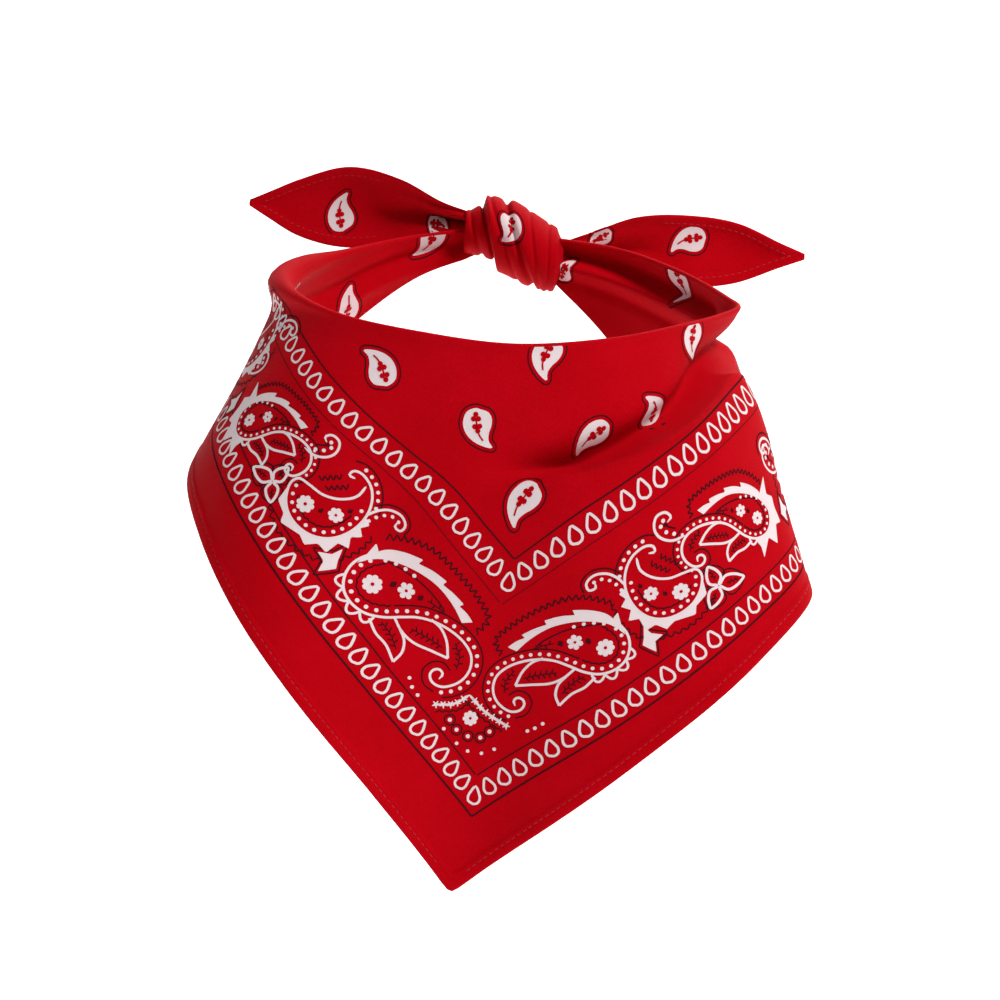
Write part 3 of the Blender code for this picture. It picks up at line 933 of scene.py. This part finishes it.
LOOSE_DOTS = {
    "right": (
        (32.8, 48.8), (33.3, 42), (34.8, 37.5), (38.2, 34),
        (42.6, 32.5), (55.3, 31), (57.8, 30.3), (60.7, 30),
    ),
    "left": ((63.5, 32.8), (66.8, 33.0), (69.8, 34.2)),
}

FIELD_MOTIFS = (  # along, down, turn, size
    (-44, 14, 27, 1), (-10, 28, -168, 1), (11, 3, 160, 1), (28, 32, 128, 1), (50, 28, 20, 1),
    (70, 5, 182, 1), (6, 54, 140, 1), (-163, 22, -60, 1), (-196, 1, 150, 1), (193, 11, 60, 0.6),
    (144, 3, 200, 1), (120, 42, 30, 1),
)


def side_layout(side):
    """The borders and motifs of one side of the point, as (run, rise) shapes."""
    pr = Print()
    lines = through(PRINT_LINES[side], 10)
    line_at = lambda name, run: np.interp(run, lines[:, 0], lines[:, LINE_COLUMNS.index(name)])
    other = "left" if side == "right" else "right"
    across = np.array(PRINT_LINES[other], float)
    corner_at = {name: across[0, LINE_COLUMNS.index(name)] for name in LINE_COLUMNS[1:]}
    far = 232.0
    lean = -13 if side == "right" else -6
    for name, width in (("outer", 0.7), ("second", 0.5), ("faint", 0.28), ("inner", 0.55)):
        run = np.arange(corner_at[name], far, 3.0)
        pr.stroke("dark", np.stack([run, line_at(name, run)], 1), width, step=2.0)
    for low, high in (("outer", "second"), ("faint", "inner")):
        start = (corner_at[low] + corner_at[high]) / 2 + DROP_PITCH
        for run in np.arange(start, far, DROP_PITCH):
            rise = (line_at(low, run) + line_at(high, run)) / 2
            drop_shape(pr, (run, rise), math.radians(lean + 6 * math.sin(run * 1.7)))
    if side == "right":
        for low, high in (("outer", "second"), ("faint", "inner")):
            run = (corner_at[low] + corner_at[high]) / 2
            rise = (line_at(low, run) + line_at(high, run)) / 2
            drop_shape(pr, (run, rise), math.radians(-45), 1.05)
        corner_posy(Placed(pr, 42.3, 46.3))
    for x, y in LOOSE_DOTS[side]:
        pr.dot("white", (x, y), 0.65)
    for motif, right, left, turn, size in MOTIFS:
        which = 0 if side == "right" else 1
        motif(Placed(pr, *(right, left)[which], turn[which], size[which]))
    return pr


class Inks:
    """Everything printed, gathered as thin films in three inks."""

    def __init__(self, materials):
        self.materials = materials
        self.parts = {colour: ([], [], []) for colour in materials}
        self.counts = dict.fromkeys(materials, 0)

    def lay(self, pr, lay_down, flip=False):
        """lay_down gives points, kept and places for the flat points of one ink."""
        for level, colour in enumerate(INKS):
            if not pr.points[colour]:
                continue
            points = np.vstack(pr.points[colour])
            placed, kept, flat = lay_down(points, FILM_LEVELS[level])
            faces = [face for face in pr.faces[colour] if kept[face].any()]
            if flip:
                faces = [face[::-1] for face in faces]
            used = np.unique(np.concatenate([np.array(face) for face in faces])) if faces else []
            if not len(used):
                continue
            new = np.full(len(points), -1)
            new[used] = np.arange(len(used)) + self.counts[colour]
            vertices, all_faces, places = self.parts[colour]
            vertices.append(placed[used])
            places.append(flat[used])
            all_faces += [new[face].tolist() for face in faces]
            self.counts[colour] += len(used)

    def finish(self):
        pieces = []
        for colour, (vertices, faces, places) in self.parts.items():
            ink_finish = self.materials[colour]
            piece = make("print_" + colour, np.vstack(vertices), faces, ink_finish, np.vstack(places))
            pieces.append(piece)
        return pieces


def on_drape(drape, side, face):
    """Lays (run, rise) shapes of one side of the point on the outer or inner face."""

    def lay_down(points, lift):
        run, rise = points.T
        across = (1 if side == "right" else -1) * (run - rise) / math.sqrt(2)
        up = (run + rise) / math.sqrt(2)
        return on_cloth(drape, across, up, face, lift)

    return lay_down


def on_cloth(drape, across, up, face, lift):
    along, down = drape.place(across, up)
    hem = drape.hem(along)
    kept = (down > -0.1) & (down < hem - 1) & (along > drape.first + 1) & (along < drape.last - 1)
    down = np.clip(down, 0.05, None)
    normal = drape.normal(along, down)
    off = face * (drape.half(along, down) + lift)
    placed = drape.point(along, down) + normal * off[:, None]
    return placed, kept, on_the_bias(np.stack([across, up], 1))


# ---------------------------------------------------------------- knot and tails
KNOT_BACK = 62.0  # how far behind the middle of the neck it sits
WEAVE_RADIUS, PRINT_RADIUS = 12.0, 12.5  # what the weave and the print take as its radius
KNOT = (  # x, z, half_high, half_deep
    (-17.5, 16.0, 8.5, 7.0),
    (-15.0, 16.3, 10.8, 10.0),
    (-9.9, 17.0, 12.4, 12.0),
    (-1.0, 14.5, 12.9, 13.0),
    (6.0, 11.3, 12.5, 13.0),
    (12.0, 9.3, 11.4, 12.5),
    (17.0, 8.0, 10.0, 10.0),
    (19.5, 7.8, 7.5, 7.5),
)
# Edges and creases of the wound cloth: where they cross the top and the bottom of the knot, how
# deep, and how wide; a step is the edge of a layer, a crease is a groove
WRAPS = {  # kind, top, bottom, deep, wide
    "first_turn": ("step", -11.0, -5.0, 3.4, 0.8),
    "first_crease": ("crease", -11.6, -5.6, 1.6, 0.8),
    "left_roll": ("crease", -16.5, -10.5, 1.2, 1.0),
    "middle_crease": ("crease", -3.0, 9.5, 1.7, 1.3),
    "middle_turn": ("step", -1.6, 10.5, 0.9, 1.2),
    "small_crease": ("crease", -9.0, 3.5, 0.7, 0.9),
    "low_crease": ("crease", 6.0, 12.0, 0.6, 0.8),
    "right_crease": ("crease", 13.5, 14.6, 0.6, 0.6),
    "right_turn": ("step", 17.2, 17.6, -1.4, 0.9),
}


def wound_knot(material):
    count, around = 140, 120
    table = through([(row[0], KNOT_BACK, *row[1:]) for row in KNOT], 14)
    at = np.linspace(KNOT[0][0], KNOT[-1][0], count)
    x, y, z, high, deep = (np.interp(at, table[:, 0], table[:, i]) for i in range(5))
    angle = np.linspace(0, 2 * math.pi, around, endpoint=False)
    share = (1 - np.cos(angle)) / 2
    push = np.zeros((count, around))
    for kind, top, bottom, depth, wide in WRAPS.values():
        off = at[:, None] - (top + (bottom - top) * share)[None]
        if kind == "step":
            push += depth * (smooth_step(off / wide / 2 + 0.5) - 0.6)
        else:
            push -= depth * np.exp(-((off / wide) ** 2))
    push += 0.3 * np.sin(at[:, None] * 0.33 + 5.0 * share) * np.sin(angle * 2 + 1)[None]
    ends = smooth_step((at - at[0]) / 3) * smooth_step((at[-1] - at) / 3)
    push *= ends[:, None]
    rings = np.stack([
        np.broadcast_to(x[:, None], push.shape),
        y[:, None] - (deep[:, None] - 0.8 + push) * np.sin(angle),
        z[:, None] + (high[:, None] - 0.8 + push) * np.cos(angle),
    ], -1)
    flat = np.stack(np.broadcast_arrays(at[:, None], WEAVE_RADIUS * angle), -1)
    piece = make(
        "wound_knot", rings.reshape(-1, 3), ring_faces(count, around) + end_faces(count, around),
        material, flat.reshape(-1, 2),
    )
    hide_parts("knot")

    def lay_down(points, lift):
        """Shapes as (x, distance round from the top, towards the front)."""
        place_x, turn = points[:, 0], points[:, 1] / PRINT_RADIUS
        row = np.interp(place_x, at, np.arange(count))
        column = (turn / (2 * math.pi) * around) % around
        low = np.floor(row).astype(int).clip(0, count - 2)
        left = np.floor(column).astype(int) % around
        fr, fc = (row - low)[:, None], (column - np.floor(column))[:, None]
        right = (left + 1) % around
        middle = (1 - fr) * ((1 - fc) * rings[low, left] + fc * rings[low, right])
        middle += fr * ((1 - fc) * rings[low + 1, left] + fc * rings[low + 1, right])
        along = rings[low + 1, left] - rings[low, left]
        round_way = rings[low, right] - rings[low, left]
        normal = unit(np.cross(round_way, along))
        core = np.interp(middle[:, 0], at, z)
        outward = middle[:, 1:] - np.stack([np.full(len(core), KNOT_BACK), core], 1)
        normal *= np.sign((normal[:, 1:] * outward).sum(1, keepdims=True))
        return middle + normal * (lift + 0.06), np.ones(len(points), bool), points

    return piece, lay_down


TAIL_COLUMNS = ("x", "y", "z", "half", "tilt", "cup")
TAILS = {
    "tail_left": (
        (-17.0, 65, 18.5, 4.5, 0, 2.0),
        (-27, 68.5, 18.7, 6.5, 2, 4.0),
        (-43, 73, 19.6, 12, 8, 6.0),
        (-63, 78, 18.8, 15, 10, 4.0),
        (-81, 82, 16.8, 10.5, 10, 2.0),
        (-92, 84.5, 16.4, 5.2, 8, 1.0),
        (-100, 86, 16.3, 1.0, 6, 0.3),
    ),
    "tail_right": (
        (19.0, 65, 10.4, 3.8, 0, 1.5),
        (30, 68, 11.2, 7.2, 2, 4.0),
        (46, 72.5, 12.4, 12, 8, 6.0),
        (66, 78, 12.2, 13.3, 10, 4.0),
        (85, 82, 12.2, 11.2, 10, 2.0),
        (102, 84, 12.3, 4.5, 8, 1.0),
        (111, 85, 12.4, 1.0, 6, 0.3),
    ),
}
TAIL_MOTIFS = {  # x, height, turn, size
    "tail_left": ((-65.0, -3.5, -16, 1.0), (-28, -3.0, 80, 0.6)),
    "tail_right": ((67.0, 4.0, 97, 1.0), (33, 5.0, 110, 0.7)),
}
PLEATS = {  # share across, depth and width at the knot of the pleats that die out along a tail
    "tail_left": ((0.45, -3.4, 0.24), (-0.12, 5.0, 0.22), (-0.62, -2.6, 0.22)),
    "tail_right": ((0.45, -2.6, 0.26), (-0.15, 4.6, 0.2), (-0.6, -3.0, 0.22)),
}
PLEAT_LONG = 46.0


class Tail:
    """A leaf of cloth, as a function of distance from the knot and share across."""

    def __init__(self, name):
        self.name = name
        rows = through(TAILS[name], 24)
        self.at = lengths(rows[:, :3])
        self.rows = rows
        self.long = self.at[-1]
        self.sign = -1.0 if name == "tail_left" else 1.0

    def read(self, column, at):
        return np.interp(at, self.at, self.rows[:, TAIL_COLUMNS.index(column)])

    def point(self, at, share):
        at, share = np.broadcast_arrays(np.asarray(at, float), np.asarray(share, float))
        half, lean = self.read("half", at), np.radians(self.read("tilt", at))
        bow = self.read("cup", at) * (1 - share**2)
        fade = 1 - smooth_step(at / PLEAT_LONG)
        for middle, deep, wide in PLEATS[self.name]:
            bow = bow + deep * fade * np.exp(-(((share - middle) / wide) ** 2))
        calm = smooth_step(at / 20) * smooth_step((self.long - at) / 15)
        bow = bow + 0.5 * np.sin(at / 9 + share * 2.2) * calm
        height = half * share
        x, y, z = (self.read(column, at) for column in "xyz")
        return np.stack([x, y + bow + height * np.sin(lean), z + height * np.cos(lean)], -1)

    def normal(self, at, share):
        ahead = self.point(at + 0.6, share) - self.point(at - 0.6, share)
        up = self.point(at, share + 0.02) - self.point(at, share - 0.02)
        return unit(np.cross(ahead, up) * self.sign)

    def build(self, material):
        count, wide = 90, 41
        at = np.linspace(0, self.long, count)[:, None]
        share = np.sin(np.linspace(math.pi / 2, -math.pi / 2, wide))[None]
        grid, normal = self.point(at, share), self.normal(at, share)
        half = self.read("half", at) * np.ones_like(share)
        in_from_edge = half * (1 - abs(share))
        near_tip = smooth_step((at - self.long * 0.35) / 10)
        turned = smooth_step((HEM_WIDTH - in_from_edge) / 0.6) * near_tip
        groove = np.exp(-(((in_from_edge - STITCH_IN) / 0.4) ** 2)) * near_tip
        thick = THICK / 2 + HEM_EXTRA * (turned - 0.6 * groove)
        thick = thick * np.sqrt(np.clip(in_from_edge / 0.5, 0.15, 1))
        outer, inner = grid + normal * thick[..., None], grid - normal * thick[..., None]
        rings = np.concatenate([outer, inner[:, ::-1]], 1)
        flat = np.stack([at * np.ones_like(share), half * share], -1)
        threads = on_the_bias(flat)
        places = np.concatenate([threads, threads[:, ::-1]], 1)
        faces = ring_faces(count, 2 * wide) + end_faces(count, 2 * wide)
        if self.sign < 0:
            faces = [face[::-1] for face in faces]
        piece = make(self.name + "_cloth", rings.reshape(-1, 3), faces, material, places.reshape(-1, 2))
        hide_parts(self.name)
        return piece

    def lay_down(self, face):
        def lay(points, lift):
            at, height = points.T
            half = self.read("half", at)
            share = height / half
            kept = (abs(share) < 0.97) & (at > 1) & (at < self.long - 1)
            share = np.clip(share, -0.98, 0.98)
            normal = self.normal(at, share) * face
            return self.point(at, share) + normal * (THICK / 2 + lift), kept, points

        return lay

    def seam(self, edge, face):
        at = np.arange(self.long * 0.4, self.long - 3.0, 1.0)
        half = self.read("half", at)
        share = edge * np.clip(1 - STITCH_IN / half, 0.02, 1)
        normal = self.normal(at, share) * face
        path = self.point(at, share) + normal * (THICK / 2 + HEM_EXTRA * 0.5)
        return path, normal, np.stack([at, half * share], 1)


# ---------------------------------------------------------------- camera, light and floor
def camera():
    """Looks along +Y from a little above, rolled slightly."""
    data = bpy.data.cameras.new("camera")
    data.lens, data.sensor_width = 120.0, 36.0
    data.clip_start, data.clip_end = 0.05, 20.0
    eye = bpy.data.objects.new("camera", data)
    bpy.context.scene.collection.objects.link(eye)
    tilt, roll = math.radians(14.5), math.radians(4.5)
    ahead = Vector((0, math.cos(tilt), -math.sin(tilt)))
    up, right = Vector((0, math.sin(tilt), math.cos(tilt))), Vector((1, 0, 0))
    right_rolled = right * math.cos(roll) + up * math.sin(roll)
    up_rolled = up * math.cos(roll) - right * math.sin(roll)
    turn = Matrix((right_rolled, up_rolled, -ahead)).transposed()
    eye.matrix_world = Matrix.Translation(Vector((0.0033, 0.0, -0.0697)) - 1.2 * ahead) @ turn.to_4x4()
    bpy.context.scene.camera = eye
    bpy.context.scene.view_settings.view_transform = "Standard"


LIGHTS = {  # place, size, watts
    "key": ((0.85, -0.40, 1.35), 0.5, 27.0),
    "fill": ((-1.0, -0.9, 0.7), 0.9, 0.8),
    "back": ((0.3, 1.0, 1.1), 0.7, 6.0),
}


SKY, SKY_STRENGTH = (1.0, 0.99, 0.985, 1.0), 0.24
FLOOR_PALE, FLOOR_PALEST = (0.93, 0.93, 0.93, 1.0), (0.96, 0.96, 0.96, 1.0)
FLOOR_LEVEL, FLOOR_REACH, FLOOR_GLOW = -0.34, 3.0, 0.70
BACKDROP_BEND = 1.2  # radius of the curve from the floor to the backdrop


def studio():
    world = bpy.data.worlds.new("studio")
    world.use_nodes = True
    back = world.node_tree.nodes["Background"]
    back.inputs["Color"].default_value = SKY
    back.inputs["Strength"].default_value = SKY_STRENGTH
    bpy.context.scene.world = world
    for name, (place, size, watts) in LIGHTS.items():
        data = bpy.data.lights.new(name, "AREA")
        data.size, data.energy = size, watts
        light = bpy.data.objects.new(name, data)
        light.location = place
        light.rotation_euler = (Vector((0, 0, -0.06)) - Vector(place)).to_track_quat("-Z", "Y").to_euler()
        bpy.context.scene.collection.objects.link(light)
    floor_finish = Finish("floor_paint")
    grain = floor_finish.noise(floor_finish.add("ShaderNodeTexCoord", {}, {}, 3), 9.0)
    floor_finish.set(base_color=floor_finish.blend(grain, FLOOR_PALE, FLOOR_PALEST))
    floor_finish.set(roughness=0.9, specular_ior_level=0.1)
    floor_finish.set(emission_color=(1.0, 1.0, 1.0, 1.0), emission_strength=FLOOR_GLOW)
    reach, level, bend, count = FLOOR_REACH, FLOOR_LEVEL, BACKDROP_BEND, 24
    profile = [(-reach, level)]
    for a in np.linspace(0, 1.5, 12):
        profile.append((bend + bend * math.sin(a), level + bend - bend * math.cos(a)))
    profile.append((2.45, 3.0))
    vertices = [(x, y, z) for y, z in profile for x in np.linspace(-reach, reach, count)]
    faces = [
        (i * count + j, i * count + j + 1, (i + 1) * count + j + 1, (i + 1) * count + j)
        for i in range(len(profile) - 1) for j in range(count - 1)
    ]
    mesh = bpy.data.meshes.new("floor")
    mesh.from_pydata(vertices, [], faces)
    mesh.shade_smooth()
    mesh.materials.append(floor_finish.material)
    floor = bpy.data.objects.new("floor", mesh)
    bpy.context.scene.collection.objects.link(floor)


# ---------------------------------------------------------------- making
def field_print(drape):
    """Field paisleys, drawn on the flat square where they lie on the draped cloth."""
    pr = Print()
    for along, down, turn, size in FIELD_MOTIFS:
        across, up = drape.flat(along, down)
        field_paisley(Placed(pr, float(across), float(up), turn, size))
    return pr


def main():
    drape = Drape()
    cloth, seam = cotton("red_cotton"), thread("red_thread")
    inks = Inks({
        "dark": ink("dark_ink", DARK_INK, DARK_SPECK, 0.8),
        "white": ink("white_ink", WHITE_INK, WHITE_SPECK, 0.45),
        "red": cotton("red_in_print"),
    })
    drape_piece = draped_cloth(drape, cloth)
    for face in (1, -1):
        for side in ("right", "left"):
            flip = (side == "left") != (face < 0)
            inks.lay(side_layout(side), on_drape(drape, side, face), flip)
        on_face = lambda p, lift, f=face: on_cloth(drape, p[:, 0], p[:, 1], f, lift)
        inks.lay(field_print(drape), on_face, face < 0)
    for name, start, end, nodes in (
        ("stitches_left", HEM_FROM + 4, POINT_ALONG - 3, "hem_left"),
        ("stitches_right", POINT_ALONG + 3, HEM_TO - 4, "hem_right"),
    ):
        for face, where in ((1, "_out"), (-1, "_in")):
            row = hem_stitches(drape, name + where, start, end, face, seam)
            if face > 0:
                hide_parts(nodes)
    knot, on_knot = wound_knot(cloth)
    pr = Print(0.7)
    field_paisley(Placed(pr, -0.6, 13.0, -5, 0.8))
    field_paisley(Placed(pr, 4.0, 50.0, 20, 0.9))
    inks.lay(pr, on_knot)
    tails, tail_seams = [], []
    for name in TAILS:
        tail = Tail(name)
        tails.append(tail.build(cloth))
        pr = Print()
        for x, height, turn, size in TAIL_MOTIFS[name]:
            at = float(np.interp(abs(x), abs(tail.rows[:, 0]), tail.at))
            field_paisley(Placed(pr, at, height, turn, size))
        for face in (1, -1):
            inks.lay(pr, tail.lay_down(face), face < 0)
        for edge, label in ((1, "upper"), (-1, "lower")):
            for face, where in ((1, "_out"), (-1, "_in")):
                path, up, flat = tail.seam(edge, face)
                row = stitches(name + "_stitches_" + label + where, path, up, seam, flat)
                tail_seams.append((name, row))
    printed = inks.finish()

    along = np.arange(drape.first, drape.last, 1.0)
    hem = drape.hem(along)
    top, low = (np.stack(drape.flat(along, down), 1) for down in (0 * hem, hem))
    x, y = np.vstack([top, low[::-1]]).T
    for piece in tails:
        name = piece.name.replace("_cloth", "")
        tail = Tail(name)
        at = np.linspace(0, tail.long, 200)
        half = tail.read("half", at)
        size = (tail.long * MM, 2 * half.max() * MM)
        seams = [row for owner, row in tail_seams if owner == name]
    camera()
    studio()


main()
